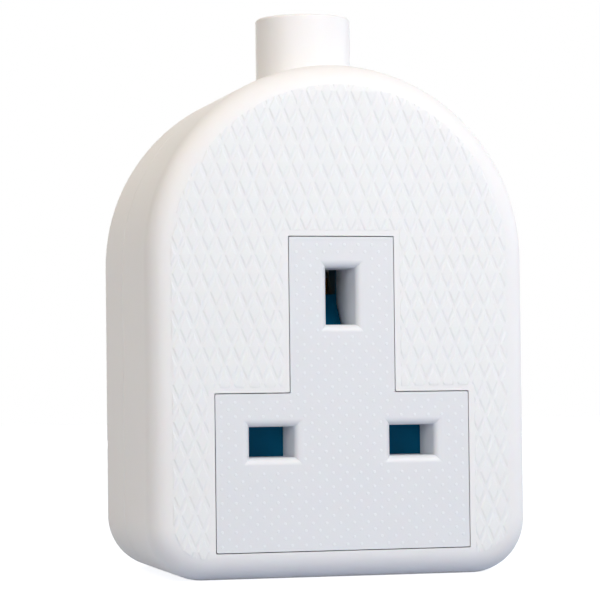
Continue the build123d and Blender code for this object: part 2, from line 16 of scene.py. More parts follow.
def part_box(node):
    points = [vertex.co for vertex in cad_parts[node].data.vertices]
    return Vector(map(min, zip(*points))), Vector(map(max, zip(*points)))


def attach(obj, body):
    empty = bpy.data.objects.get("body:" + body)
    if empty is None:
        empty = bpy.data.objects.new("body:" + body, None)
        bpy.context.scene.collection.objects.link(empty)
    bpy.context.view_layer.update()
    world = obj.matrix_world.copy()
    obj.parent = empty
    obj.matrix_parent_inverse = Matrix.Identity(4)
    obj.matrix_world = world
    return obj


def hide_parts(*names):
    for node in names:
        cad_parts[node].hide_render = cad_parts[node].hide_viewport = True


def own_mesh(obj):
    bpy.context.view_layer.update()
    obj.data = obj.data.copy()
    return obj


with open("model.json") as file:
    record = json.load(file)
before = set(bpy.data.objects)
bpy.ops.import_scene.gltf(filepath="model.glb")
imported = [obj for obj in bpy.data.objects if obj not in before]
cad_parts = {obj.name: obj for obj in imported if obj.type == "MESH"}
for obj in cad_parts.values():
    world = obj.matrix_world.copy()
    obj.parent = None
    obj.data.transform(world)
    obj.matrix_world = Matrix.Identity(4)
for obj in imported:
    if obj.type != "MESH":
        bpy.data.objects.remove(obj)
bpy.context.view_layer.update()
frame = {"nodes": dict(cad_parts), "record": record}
MM = 0.001

# %% [markdown]
# Shader and geometry trees are long to write node by node.
# A small class that wraps one socket lets a sum be written as a sum, and one method makes every
# other node, with its settings first and its socket values after them.


# %% A socket that can be used in sums
class Wire:
    """One output of a node. Sums with it add Math nodes to its tree."""

    def __init__(self, tree, socket):
        self.tree = tree
        self.socket = socket

    def other(self, name):
        """Another output of the same node."""
        return Wire(self.tree, self.socket.node.outputs[name])

    def maths(self, operation, *values):
        return self.tree.node("ShaderNodeMath", {"operation": operation}, dict(enumerate(values)))

    def __add__(self, value):
        return self.maths("ADD", self, value)

    def __radd__(self, value):
        return self.maths("ADD", value, self)

    def __sub__(self, value):
        return self.maths("SUBTRACT", self, value)

    def __rsub__(self, value):
        return self.maths("SUBTRACT", value, self)

    def __mul__(self, value):
        return self.maths("MULTIPLY", self, value)

    def __rmul__(self, value):
        return self.maths("MULTIPLY", value, self)

    def __truediv__(self, value):
        return self.maths("DIVIDE", self, value)

    def __rtruediv__(self, value):
        return self.maths("DIVIDE", value, self)

    def __pow__(self, value):
        return self.maths("POWER", self, value)

    def __rpow__(self, value):
        return self.maths("POWER", value, self)

    def __abs__(self):
        return self.maths("ABSOLUTE", self)

    def __gt__(self, value):
        return self.maths("GREATER_THAN", self, value)

    def __lt__(self, value):
        return self.maths("LESS_THAN", self, value)

    def above(self, value):
        """This value, or the other one where that is larger."""
        return self.maths("MAXIMUM", self, value)

    def below(self, value):
        """This value, or the other one where that is smaller."""
        return self.maths("MINIMUM", self, value)


# %% A tree that is filled through one method
class Tree:
    """A shader or geometry tree."""

    def __init__(self, nodes):
        self.nodes = nodes

    def node(self, kind, settings=None, values=None, output=0):
        """Adds a node and gives back one of its outputs. A list puts several links on one socket."""
        made = self.nodes.nodes.new(kind)
        for name, value in (settings or {}).items():
            setattr(made, name, value)
        for place, value in (values or {}).items():
            for one in value if isinstance(value, list) else [value]:
                self.feed(made.inputs[place], one)
        return Wire(self, made.outputs[output]) if made.outputs else None

    def feed(self, socket, value):
        """Links a socket, or sets its own value."""
        if isinstance(value, Wire):
            self.nodes.links.new(value.socket, socket)
        else:
            socket.default_value = value


# %% [markdown]
# The camera comes before any finish, so that each new piece can be held against the picture.
# Its place was worked out from the corners of the inverted T, the sides of the neck and the
# silhouette: a long lens, a little below the middle of the socket and to the left of it.
# The picture was cut from a wider one, so a camera that looks straight at the socket, with no
# shift of its lens, can only come within a few pixels of it.

# %% Camera
PICTURE_WIDTH = 600
FOCAL_PIXELS = 2570
CAMERA_PLACE = Vector((-102.5, -401.0, 30.0)) * MM
YAW, PITCH, ROLL = (math.radians(angle) for angle in (14.16, 1.83, -0.68))

forward = Vector((math.sin(YAW) * math.cos(PITCH), math.cos(YAW) * math.cos(PITCH), math.sin(PITCH)))
level_right = forward.cross(Vector((0, 0, 1))).normalized()
level_up = level_right.cross(forward)
right = level_right * math.cos(ROLL) + level_up * math.sin(ROLL)
up = level_up * math.cos(ROLL) - level_right * math.sin(ROLL)

scene = bpy.context.scene
lens = bpy.data.cameras.new("studio_camera")
lens.sensor_width = 36
lens.lens = FOCAL_PIXELS / PICTURE_WIDTH * lens.sensor_width
lens.clip_start, lens.clip_end = 0.01, 20
camera = bpy.data.objects.new("studio_camera", lens)
camera.matrix_world = Matrix.Translation(CAMERA_PLACE) @ Matrix((right, up, -forward)).transposed().to_4x4()
scene.collection.objects.link(camera)
scene.camera = camera
print("Lens in mm:", round(lens.lens, 1))

# %% [markdown]
# The shell is white moulded plastic, so its colour hardly changes, and what makes it look real is
# the skin: the mould was spark-eroded, which leaves a grain of a few hundredths of a millimetre.
# A flat roughness would look like paper, so the grain goes to the bump and the roughness both.


# %% Finishes: a start that all of them share
def new_finish(name, constants):
    """A material whose fixed numbers stand on the shader's own sockets."""
    material = bpy.data.materials.new(name)
    material.use_nodes = True
    tree = Tree(material.node_tree)
    shader = material.node_tree.nodes["Principled BSDF"]
    for socket, value in constants.items():
        shader.inputs[socket].default_value = value
    print("Started the finish", name)
    return material, tree, shader


def noise(tree, size, detail=2.0, roughness=0.5, stretch=(1, 1, 1)):
    """Noise whose spots are about that many millimetres across, in the piece's own coordinates."""
    place = tree.node("ShaderNodeTexCoord", output="Object")
    scaled = tree.node("ShaderNodeMapping", None, {"Vector": place, "Scale": stretch})
    values = {"Vector": scaled, "Scale": 1 / (size * MM), "Detail": detail, "Roughness": roughness}
    return tree.node("ShaderNodeTexNoise", None, values)


def blend(tree, factor, first, second):
    """A colour between two."""
    return tree.node("ShaderNodeMix", {"data_type": "RGBA"}, {0: factor, 6: first, 7: second}, 2)


def bumpy_normal(tree, height, strength, distance):
    """A normal that follows a height, where a height of 1 is that distance in millimetres."""
    values = {"Height": height, "Strength": strength, "Distance": distance * MM}
    return tree.node("ShaderNodeBump", None, values)


# %% Finish: moulded shell
def moulded_plastic(name, light, shade, roughness, grain, grain_depth):
    """White plastic with a spark-eroded skin and a slow drift in its colour."""
    fixed = {"IOR": 1.5, "Specular IOR Level": 0.4, "Subsurface Weight": 0.08, "Subsurface Scale": 1.2 * MM}
    material, tree, shader = new_finish(name, fixed)
    drift = noise(tree, 22)
    skin = noise(tree, grain, 3, 0.6)
    tree.feed(shader.inputs["Base Color"], blend(tree, drift, (*light, 1), (*shade, 1)))
    tree.feed(shader.inputs["Roughness"], roughness + (skin - 0.5) * 0.25)
    tree.feed(shader.inputs["Normal"], bumpy_normal(tree, skin, grain_depth, 0.03))
    return material


shell_white = moulded_plastic("shell_white", (0.85, 0.85, 0.875), (0.83, 0.828, 0.845), 0.5, 0.12, 0.35)
insert_white = moulded_plastic("insert_white", (0.765, 0.783, 0.825), (0.745, 0.763, 0.805), 0.42, 0.2, 0.3)
# The dots are coloured lighter than the insert round them: a painted highlight, where their raised tops catch
# the light.
dot_painted_highlight = moulded_plastic("dot_painted_highlight", (0.83, 0.85, 0.89), (0.81, 0.83, 0.87), 0.36, 0.2, 0.2)
carrier_white = moulded_plastic("carrier_white", (0.6, 0.6, 0.57), (0.56, 0.56, 0.53), 0.5, 0.16, 0.3)

# %% [markdown]
# The shutter is a darker plastic and smoother, because it has to slide.
# Its colour shows only through the slots, in their shade, so it is written lighter than it looks.


# %% Finish: shutter
def sliding_plastic():
    """Smooth blue-green plastic with faint marks along its way of travel."""
    material, tree, shader = new_finish("shutter_blue", {"IOR": 1.49, "Specular IOR Level": 0.05})
    drift = noise(tree, 6)
    rubbed = noise(tree, 0.25, 3, 0.6, (1, 1, 0.08))
    tree.feed(shader.inputs["Base Color"], blend(tree, drift, (0.001, 0.12, 0.24, 1), (0.001, 0.1, 0.2, 1)))
    tree.feed(shader.inputs["Roughness"], 0.28 + rubbed * 0.2)
    tree.feed(shader.inputs["Normal"], bumpy_normal(tree, rubbed, 0.2, 0.02))
    return material


shutter_blue = sliding_plastic()

# %% [markdown]
# Brass strip is rolled, so its fine lines all run one way, and handling leaves it a little duller
# in places. The screws are zinc plated: grey with a trace of blue and straw from the last bath.


# %% Finish: metals
def rolled_metal(name, clean, dull, roughness, line, stretch):
    """Metal with fine lines along the way it was rolled or turned."""
    material, tree, shader = new_finish(name, {"Metallic": 1.0})
    handled = noise(tree, 3, 3, 0.6)
    lines = noise(tree, line, 3, 0.6, stretch)
    tree.feed(shader.inputs["Base Color"], blend(tree, handled, (*clean, 1), (*dull, 1)))
    tree.feed(shader.inputs["Roughness"], roughness + handled * 0.15 + (lines - 0.5) * 0.15)
    tree.feed(shader.inputs["Normal"], bumpy_normal(tree, lines, 0.25, 0.02))
    return material


brass = rolled_metal("rolled_brass", (0.78, 0.58, 0.25), (0.62, 0.42, 0.17), 0.2, 0.12, (1, 0.06, 1))
zinc = rolled_metal("zinc_plate", (0.62, 0.64, 0.67), (0.52, 0.51, 0.47), 0.25, 0.15, (1, 1, 1))

# %% [markdown]
# The CAD solids that keep their shape only need the right finish in their slot.

# %% Dress the CAD nodes
FINISHES = {
    "casing": shell_white,
    "face": insert_white,
    "shutter": shutter_blue,
    "carrier": carrier_white,
    "brass": brass,
    "steel": zinc,
}
for part in frame["record"]["subparts"]:
    mesh = frame["nodes"][part["node"]].data
    mesh.materials.clear()
    mesh.materials.append(FINISHES[part["material_slot"]])

# %% [markdown]
# Much of what is left repeats: diamonds, speckles, threads and coils.
# Each becomes a geometry tree with its sizes as named inputs, so that one number changes them all.
# The result is baked to a plain mesh, because an export keeps meshes and drops instances.


# %% Geometry trees: how each one starts, ends and is baked
SOCKET_KINDS = {float: "NodeSocketFloat", int: "NodeSocketInt", bpy.types.Object: "NodeSocketObject"}


def new_maker(name, sizes):
    """A geometry tree with a named input for each size."""
    nodes = bpy.data.node_groups.new(name, "GeometryNodeTree")
    nodes.interface.new_socket("Geometry", in_out="INPUT", socket_type="NodeSocketGeometry")
    for label, value in sizes.items():
        socket = nodes.interface.new_socket(label, in_out="INPUT", socket_type=SOCKET_KINDS[type(value)])
        socket.default_value = value
    nodes.interface.new_socket("Geometry", in_out="OUTPUT", socket_type="NodeSocketGeometry")
    tree = Tree(nodes)
    return tree, tree.node("NodeGroupInput")


def finish_maker(tree, made, material):
    """Ends a tree with real geometry and its finish."""
    real = tree.node("GeometryNodeRealizeInstances", None, {"Geometry": made})
    dressed = tree.node("GeometryNodeSetMaterial", None, {"Geometry": real, "Material": material})
    tree.node("NodeGroupOutput", None, {"Geometry": dressed})
    print("The maker", tree.nodes.name, "has", len(tree.nodes.nodes), "nodes")


def vector(tree, x=0.0, y=0.0, z=0.0):
    """Three values joined to one vector."""
    return tree.node("ShaderNodeCombineXYZ", None, {"X": x, "Y": y, "Z": z})


def link(name, mesh):
    """An object at the origin, in the scene."""
    piece = bpy.data.objects.new(name, mesh)
    scene.collection.objects.link(piece)
    return piece


def bake(name, tree, sizes=None, points=((0, 0, 0),)):
    """Runs a tree on a few points and keeps what comes out as a plain mesh."""
    start = bpy.data.meshes.new(name)
    start.from_pydata(points, [], [])
    piece = link(name, start)
    modifier = piece.modifiers.new("maker", "NODES")
    modifier.node_group = tree.nodes
    for label, value in (sizes or {}).items():
        modifier[tree.nodes.interface.items_tree[label].identifier] = value
    made = bpy.data.meshes.new_from_object(piece.evaluated_get(bpy.context.evaluated_depsgraph_get()))
    piece.modifiers.clear()
    piece.data = made
    print(name, "has", len(made.polygons), "faces")
    return piece


# %% [markdown]
# The two shells meet on a plane just behind the neck's middle. A moulded rim is never knife-sharp:
# each has a tiny chamfer, and two of them together draw the fine line that runs round the socket.
# A copy of each CAD mesh is welded and cut close to its rim, and the rim's outer points move
# inwards. Each corner then gets its normal back from the nearest corner of the CAD mesh that
# belongs to a face of the same direction, so that the flat walls stay flat next to the roundings.

# %% Outline of the shells, in millimetres
BODY_HALF = 30.0
DOME_HEIGHT = 49.1
CORNER_RADIUS = 8.5
NECK_HALF = 7.65
NECK_START = 78.0
SEAM_PLACE = 1.5
RIM_CHAMFER = 0.22
print("The dome's top is at", round(DOME_HEIGHT + BODY_HALF, 1), "mm")

# %% The way out of the outline
NEAR_STRAIGHT, NEAR_ARC, NEAR_NECK = 0.02, 0.03, 0.55


def outward_at(x, z):
    """The way out of the shell at a point of its outline, or nothing for a point inside it."""
    sideways = Vector((math.copysign(1, x), 0, 0))
    if abs(abs(x) - NECK_HALF) < NEAR_NECK and z > NECK_START:
        return sideways
    if z > DOME_HEIGHT:
        centre, radius = Vector((0, 0, DOME_HEIGHT)), BODY_HALF
    elif z < CORNER_RADIUS and abs(x) > BODY_HALF - CORNER_RADIUS:
        centre = Vector((math.copysign(BODY_HALF - CORNER_RADIUS, x), 0, CORNER_RADIUS))
        radius = CORNER_RADIUS
    elif z < NEAR_STRAIGHT:
        return Vector((0, 0, -1))
    else:
        return sideways if abs(x) > BODY_HALF - NEAR_STRAIGHT else None
    arm = Vector((x, 0, z)) - centre
    return arm.normalized() if arm.length > radius - NEAR_ARC else None


# %% Normals from the CAD mesh
SAME_POINT = 0.001
SAME_DIRECTION = 0.9


def take_normals(mesh, source):
    """Gives the mesh the corner normals of the CAD mesh, but leaves the new chamfer's faces flat."""
    tree = KDTree(len(source.vertices))
    for point in source.vertices:
        tree.insert(point.co, point.index)
    tree.balance()
    corners = [[] for _ in source.vertices]
    for face in source.polygons:
        for corner in face.loop_indices:
            known = (face.normal.copy(), source.corner_normals[corner].vector.copy())
            corners[source.loops[corner].vertex_index].append(known)
    near = []
    for point in mesh.vertices:
        same_place = tree.find_range(tree.find(point.co)[0], SAME_POINT * MM)
        near.append([known for _, index, _ in same_place for known in corners[index]])
    normals = [None] * len(mesh.loops)
    for face in mesh.polygons:
        for corner in face.loop_indices:
            known = max(near[mesh.loops[corner].vertex_index], key=lambda pair: face.normal.dot(pair[0]))
            alike = face.normal.dot(known[0]) > SAME_DIRECTION
            normals[corner] = known[1] if alike else face.normal.copy()
    mesh.normals_split_custom_set(normals)


# %% Rims of the shells
WELD_DISTANCE = 0.0005
NEAR_SEAM = 0.01


def chamfer_rim(node, name, side):
    """A copy of a shell with a chamfer round its outer rim. The shell is on that side of the seam."""
    build = bmesh.new()
    build.from_mesh(frame["nodes"][node].data)
    bmesh.ops.remove_doubles(build, verts=build.verts, dist=WELD_DISTANCE * MM)
    parts = build.verts[:] + build.edges[:] + build.faces[:]
    cut = (0, (SEAM_PLACE + side * RIM_CHAMFER) * MM, 0)
    bmesh.ops.bisect_plane(build, geom=parts, dist=1e-7, plane_co=cut, plane_no=(0, 1, 0))
    moved = 0
    for point in build.verts:
        x, y, z = point.co / MM
        outward = outward_at(x, z) if abs(y - SEAM_PLACE) < NEAR_SEAM else None
        if outward:
            point.co -= outward * RIM_CHAMFER * MM
            moved += 1
    mesh = bpy.data.meshes.new(name)
    build.to_mesh(mesh)
    build.free()
    mesh.materials.append(shell_white)
    mesh.shade_smooth()
    take_normals(mesh, frame["nodes"][node].data)
    shell = link(name, mesh)
    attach(shell, "housing")
    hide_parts(node)
    print(name, "moved", moved, "points of its rim")


chamfer_rim("front_casing", "front_shell", -1)
chamfer_rim("rear_cover", "rear_shell", 1)

# %% [markdown]
# The front panel is covered in raised diamonds, so that wet fingers keep their grip.
# On the real mould they are cut as two sets of fine slanting lines. Here one bevelled diamond is
# made and repeated on two grids, one set between the other, which is quick and keeps every groove
# as wide as the next. The rim round the panel then cuts the diamonds that it crosses.

# %% Outline of the panel and of the window in it
EDGE_ROUNDING = 4.3
FACE_DEPTH = -21.0
PANEL_INSET = 3.4
WINDOW_RIM = 1.05
TEE_TOP, TEE_SHOULDER, TEE_BOTTOM = 52.2, 28.3, 4.3
TEE_STEM_HALF, TEE_BASE_HALF = 8.25, 20.0


def arc(centre_x, centre_z, radius, start, end, steps):
    """Points along an arc, with its angles in degrees."""
    angles = [math.radians(start + (end - start) * step / steps) for step in range(steps + 1)]
    return [(centre_x + radius * math.cos(a), centre_z + radius * math.sin(a)) for a in angles]


def arch_outline(inset):
    """The body's front outline, moved inwards."""
    corner = CORNER_RADIUS - inset
    side = BODY_HALF - CORNER_RADIUS
    lower_right = arc(side, CORNER_RADIUS, corner, -90, 0, 8)
    dome = arc(0, DOME_HEIGHT, BODY_HALF - inset, 0, 180, 72)
    lower_left = arc(-side, CORNER_RADIUS, corner, 180, 270, 8)
    return lower_right + dome + lower_left


def tee_outline(margin):
    """The inverted T of the hard insert, with a margin on every side."""
    stem, base = TEE_STEM_HALF + margin, TEE_BASE_HALF + margin
    bottom, shoulder, top = TEE_BOTTOM - margin, TEE_SHOULDER + margin, TEE_TOP + margin
    return [
        (-base, bottom), (base, bottom), (base, shoulder), (stem, shoulder),
        (stem, top), (-stem, top), (-stem, shoulder), (-base, shoulder),
    ]


def cutter(name, outline, reach):
    """A front-view outline made solid, for a cut, that far to both sides of the front face."""
    build = bmesh.new()
    near = (FACE_DEPTH - reach) * MM
    face = build.faces.new([build.verts.new((x * MM, near, z * MM)) for x, z in outline])
    moved = bmesh.ops.extrude_face_region(build, geom=[face])["geom"]
    corners = [part for part in moved if isinstance(part, bmesh.types.BMVert)]
    bmesh.ops.translate(build, verts=corners, vec=(0, 2 * reach * MM, 0))
    bmesh.ops.recalc_face_normals(build, faces=build.faces)
    mesh = bpy.data.meshes.new(name)
    build.to_mesh(mesh)
    build.free()
    print(name, "has", len(outline), "corners")
    return link(name, mesh)


panel_form = cutter("panel_form", arch_outline(PANEL_INSET), 1)
window_form = cutter("window_form", tee_outline(WINDOW_RIM), 2)


# %% Two grids of points, one between the other
def staggered_points(tree, wide, tall, columns, rows):
    """The corners of a lattice and the middle of each of its cells."""
    grids = []
    for fewer in (0, 1):
        across, along = columns - fewer, rows - fewer
        size = {"Size X": (across - 1) * wide, "Size Y": (along - 1) * tall}
        counts = {"Vertices X": across, "Vertices Y": along}
        grids.append(tree.node("GeometryNodeMeshGrid", None, {**size, **counts}))
    return tree.node("GeometryNodeJoinGeometry", None, {"Geometry": grids})


# %% One diamond
def bevelled_diamond(tree, wide, tall, groove, rise, sink):
    """A closed diamond with its foot below the face, narrower than its cell by the groove."""
    pitch = wide * tall / (wide * wide + tall * tall) ** 0.5
    share = 1 - groove / pitch
    flat = tree.node("GeometryNodeMeshCircle", {"fill_type": "NGON"}, {"Vertices": 4, "Radius": 1.0})
    scale = vector(tree, wide * share * 0.5, tall * share * 0.5, 1.0)
    low = vector(tree, z=0 - sink)
    foot = tree.node("GeometryNodeTransform", None, {"Geometry": flat, "Scale": scale, "Translation": low})
    diamond, top = foot, True
    for lift, keep in ((sink + rise * 0.1, 1.0), (rise * 0.5, 0.87), (rise * 0.4, 0.82)):
        step = {"Mesh": diamond, "Selection": top, "Offset": vector(tree, z=1.0), "Offset Scale": lift}
        diamond = tree.node("GeometryNodeExtrudeMesh", None, {**step, "Individual": False})
        top = diamond.other("Top")
        step = {"Geometry": diamond, "Selection": top, "Scale": keep}
        diamond = tree.node("GeometryNodeScaleElements", None, step)
    underside = tree.node("GeometryNodeFlipFaces", None, {"Mesh": foot})
    closed = tree.node("GeometryNodeJoinGeometry", None, {"Geometry": [diamond, underside]})
    return tree.node("GeometryNodeMergeByDistance", None, {"Geometry": closed, "Distance": 0.001 * MM})


# %% The rounding of the shell's edge
def bend_over_edge(tree, geometry):
    """Lets the front's pieces follow the rounding of the shell's edge."""
    place = tree.node("ShaderNodeSeparateXYZ", None, {"Vector": tree.node("GeometryNodeInputPosition")})
    x, z = abs(place), place.other("Z")
    above_dome = (z - DOME_HEIGHT * MM).above(0.0)
    dome = (x * x + above_dome * above_dome) ** 0.5 - (BODY_HALF - EDGE_ROUNDING) * MM
    sideways = (x - (BODY_HALF - CORNER_RADIUS) * MM).above(0.0)
    downwards = (CORNER_RADIUS * MM - z).above(0.0)
    corner = (sideways * sideways + downwards * downwards) ** 0.5 - (CORNER_RADIUS - EDGE_ROUNDING) * MM
    past = dome.above(corner).above(0.0).below(EDGE_ROUNDING * MM)
    radius = EDGE_ROUNDING * MM
    drop = radius - (radius * radius - past * past) ** 0.5
    move = vector(tree, y=drop)
    return tree.node("GeometryNodeSetPosition", None, {"Geometry": geometry, "Offset": move})


# %% Diamond maker
DIAMONDS_MIDDLE = (0.35 * MM, FACE_DEPTH * MM, 38.2 * MM)


def diamond_maker():
    """Bevelled diamonds on a lattice, cut by the panel's rim and the window, and bent over its edge."""
    sizes = {"Wide": 2.36 * MM, "Tall": 5.6 * MM, "Groove": 0.4 * MM, "Rise": 0.11 * MM, "Sink": 0.15 * MM}
    counts = {"Columns": 24, "Rows": 15, "Panel": panel_form, "Window": window_form}
    tree, given = new_maker("moulded_diamonds", {**sizes, **counts})
    wide, tall, groove, rise, sink = (given.other(label) for label in sizes)
    diamond = bevelled_diamond(tree, wide, tall, groove, rise, sink)
    points = staggered_points(tree, wide, tall, given.other("Columns"), given.other("Rows"))
    repeated = tree.node("GeometryNodeInstanceOnPoints", None, {"Points": points, "Instance": diamond})
    place = {"Rotation": (math.pi / 2, 0, 0), "Translation": DIAMONDS_MIDDLE}
    upright = tree.node("GeometryNodeTransform", None, {"Geometry": repeated, **place})
    solid = tree.node("GeometryNodeRealizeInstances", None, {"Geometry": upright})
    panel = tree.node("GeometryNodeObjectInfo", None, {"Object": given.other("Panel")}, "Geometry")
    window = tree.node("GeometryNodeObjectInfo", None, {"Object": given.other("Window")}, "Geometry")
    inside = {"operation": "INTERSECT", "solver": "MANIFOLD"}
    solid = tree.node("GeometryNodeMeshBoolean", inside, {"Mesh 2": [solid, panel]})
    outside = {"operation": "DIFFERENCE", "solver": "MANIFOLD"}
    solid = tree.node("GeometryNodeMeshBoolean", outside, {"Mesh 1": solid, "Mesh 2": window})
    finish_maker(tree, bend_over_edge(tree, solid), shell_white)
    return tree


diamonds = bake("front_diamonds", diamond_maker())
for form in (panel_form, window_form):
    bpy.data.objects.remove(form)
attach(diamonds, "housing")

# %% [markdown]
# The hard insert has its own texture: rows of tiny flat-topped dots, turned by 45 degrees.
# They keep clear of the slots, where the plug's pins slide in, and of the insert's rim.

# %% Where no dot may stand
PIN_SIDE, PIN_HEIGHT, EARTH_HEIGHT = 11.1, 20.9, 43.1
PIN_CLEAR_X, PIN_CLEAR_Z = 5.0, 3.8
EARTH_CLEAR_X, EARTH_CLEAR_Z = 3.8, 5.8


def kept_clear(tree, rim):
    """True outside the T, on its rim and round the slots."""
    place = tree.node("ShaderNodeSeparateXYZ", None, {"Vector": tree.node("GeometryNodeInputPosition")})
    x, z = abs(place), place.other("Z")
    half = TEE_BASE_HALF * MM - (z > TEE_SHOULDER * MM - rim) * ((TEE_BASE_HALF - TEE_STEM_HALF) * MM)
    outside = (x > half - rim) + (z < TEE_BOTTOM * MM + rim) + (z > TEE_TOP * MM - rim)
    beside_pin = (abs(x - PIN_SIDE * MM) < PIN_CLEAR_X * MM) * (abs(z - PIN_HEIGHT * MM) < PIN_CLEAR_Z * MM)
    beside_earth = (x < EARTH_CLEAR_X * MM) * (abs(z - EARTH_HEIGHT * MM) < EARTH_CLEAR_Z * MM)
    return outside + beside_pin + beside_earth > 0.5


# %% Speckle maker
SPECKLES_MIDDLE = (-0.62 * MM, FACE_DEPTH * MM, 28.1 * MM)


def speckle_maker():
    """Flat-topped dots on a lattice, away from the slots and the rim of the insert."""
    sizes = {"Pitch": 2.18 * MM, "Foot": 0.27 * MM, "Top": 0.2 * MM, "Rise": 0.03 * MM, "Rim": 0.6 * MM}
    tree, given = new_maker("insert_speckles", {**sizes, "Columns": 19, "Rows": 23})
    pitch, foot, top, rise, rim = (given.other(label) for label in sizes)
    dot = {"Vertices": 8, "Radius Top": top, "Radius Bottom": foot, "Depth": rise * 2.0}
    dot = {"Geometry": tree.node("GeometryNodeMeshCone", None, dot), "Translation": vector(tree, z=0 - rise)}
    dot = tree.node("GeometryNodeTransform", None, dot)
    points = staggered_points(tree, pitch, pitch, given.other("Columns"), given.other("Rows"))
    place = {"Rotation": (math.pi / 2, 0, 0), "Translation": SPECKLES_MIDDLE}
    points = tree.node("GeometryNodeTransform", None, {"Geometry": points, **place})
    away = {"Geometry": points, "Selection": kept_clear(tree, rim)}
    points = tree.node("GeometryNodeDeleteGeometry", {"domain": "POINT"}, away)
    upright = {"Points": points, "Instance": dot, "Rotation": (math.pi / 2, 0, 0)}
    finish_maker(tree, tree.node("GeometryNodeInstanceOnPoints", None, upright), dot_painted_highlight)
    return tree


speckles = bake("insert_speckles", speckle_maker())
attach(speckles, "housing")

# %% [markdown]
# The return spring of the shutter is wound from round wire, with one closed coil at each end.
# The CAD spring has hexagonal wire to stay light. A spiral that is bent to those coils and given
# a round section looks right.

# %% Spring maker
SPRING_WIRE = 0.25
CLOSED_RISE = 2.1


def spring_maker(low, high):
    """A compression spring between two corners. A closed coil rises by a bit more than its wire."""
    wire = SPRING_WIRE * MM
    radius, height = (high.x - low.x) / 2, high.z - low.z
    sizes = {"Coil radius": radius - wire, "Height": height - 2 * wire, "Wire": wire, "Coils": 7, "Sides": 10}
    tree, given = new_maker("wound_spring", sizes)
    coil_radius, coils = given.other("Coil radius"), given.other("Coils")
    turns = coils + 2
    coil = {"Resolution": 28, "Rotations": turns, "Start Radius": coil_radius, "End Radius": coil_radius}
    coil = tree.node("GeometryNodeCurveSpiral", None, {**coil, "Height": 0.0})
    wound = tree.node("GeometryNodeSplineParameter") * turns
    closed = given.other("Wire") * CLOSED_RISE
    open_pitch = (given.other("Height") - closed * 2) / coils
    middle = (wound - 1).above(0.0).below(coils)
    ends = wound.below(1.0) + (wound - turns + 1).above(0.0)
    rise = vector(tree, z=ends * closed + middle * open_pitch)
    coil = tree.node("GeometryNodeSetPosition", None, {"Geometry": coil, "Offset": rise})
    section = {"Resolution": given.other("Sides"), "Radius": given.other("Wire")}
    section = tree.node("GeometryNodeCurvePrimitiveCircle", None, section)
    round_wire = {"Curve": coil, "Profile Curve": section, "Fill Caps": True}
    round_wire = tree.node("GeometryNodeCurveToMesh", None, round_wire)
    place = ((low.x + high.x) / 2, (low.y + high.y) / 2, low.z + wire)
    placed = tree.node("GeometryNodeTransform", None, {"Geometry": round_wire, "Translation": place})
    finish_maker(tree, placed, zinc)
    return tree


# %% Spring in its place
spring_low, spring_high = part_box("shutter_spring")
spring = bake("return_spring", spring_maker(Vector(spring_low), Vector(spring_high)))
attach(spring, "housing")
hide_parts("shutter_spring")
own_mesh(spring)

# %% [markdown]
# Thirteen screws hold the socket together, in four sizes, and all of them point to the front.
# One tree makes a screw from a shank, a wound thread and a head with a bevelled rim, cuts the
# driver's slots into the head and sets it on each place that the CAD model gives.


# %% Pieces of a screw
def round_part(tree, sides, bottom_radius, top_radius, low, high):
    """A cylinder or a cone between two heights."""
    values = {"Vertices": sides, "Radius Bottom": bottom_radius, "Radius Top": top_radius}
    part = tree.node("GeometryNodeMeshCone", None, {**values, "Depth": high - low})
    return tree.node("GeometryNodeTransform", None, {"Geometry": part, "Translation": vector(tree, z=low)})


def slotted_head(tree, sides, radius, height, slot, slot_depth, reach):
    """A head with a bevelled rim and a slot right across it. A reach makes the slot a cross."""
    bevel = radius * 0.12
    rim = round_part(tree, sides, radius, radius, 0.0, height - bevel)
    crown = round_part(tree, sides, radius, radius - bevel, height - bevel, height)
    join = {"operation": "UNION", "solver": "EXACT"}
    head = tree.node("GeometryNodeMeshBoolean", join, {"Mesh 2": [rim, crown]})
    cuts = []
    for wide, deep in ((radius * 2.2, slot), (slot, reach * 2.0)):
        cube = tree.node("GeometryNodeMeshCube", None, {"Size": vector(tree, wide, deep, slot_depth * 2.0)})
        lifted = {"Geometry": cube, "Translation": vector(tree, z=height)}
        cuts.append(tree.node("GeometryNodeTransform", None, lifted))
    cut = {"operation": "DIFFERENCE", "solver": "EXACT"}
    return tree.node("GeometryNodeMeshBoolean", cut, {"Mesh 1": head, "Mesh 2": cuts})


def wound_thread(tree, core, depth, bottom, wound, pitch):
    """A thin three-sided wire that winds up round the core."""
    ridge = {"Resolution": 16, "Rotations": wound / pitch, "Start Radius": core, "End Radius": core}
    ridge = tree.node("GeometryNodeCurveSpiral", None, {**ridge, "Height": wound})
    section = tree.node("GeometryNodeCurvePrimitiveCircle", None, {"Resolution": 3, "Radius": depth})
    ridge = {"Curve": ridge, "Profile Curve": section, "Fill Caps": True}
    ridge = {"Geometry": tree.node("GeometryNodeCurveToMesh", None, ridge)}
    return tree.node("GeometryNodeTransform", None, {**ridge, "Translation": vector(tree, z=bottom)})


# %% Screw maker
HEAD_HEIGHT = 1.7
SHANK_IN_HEAD = 0.05


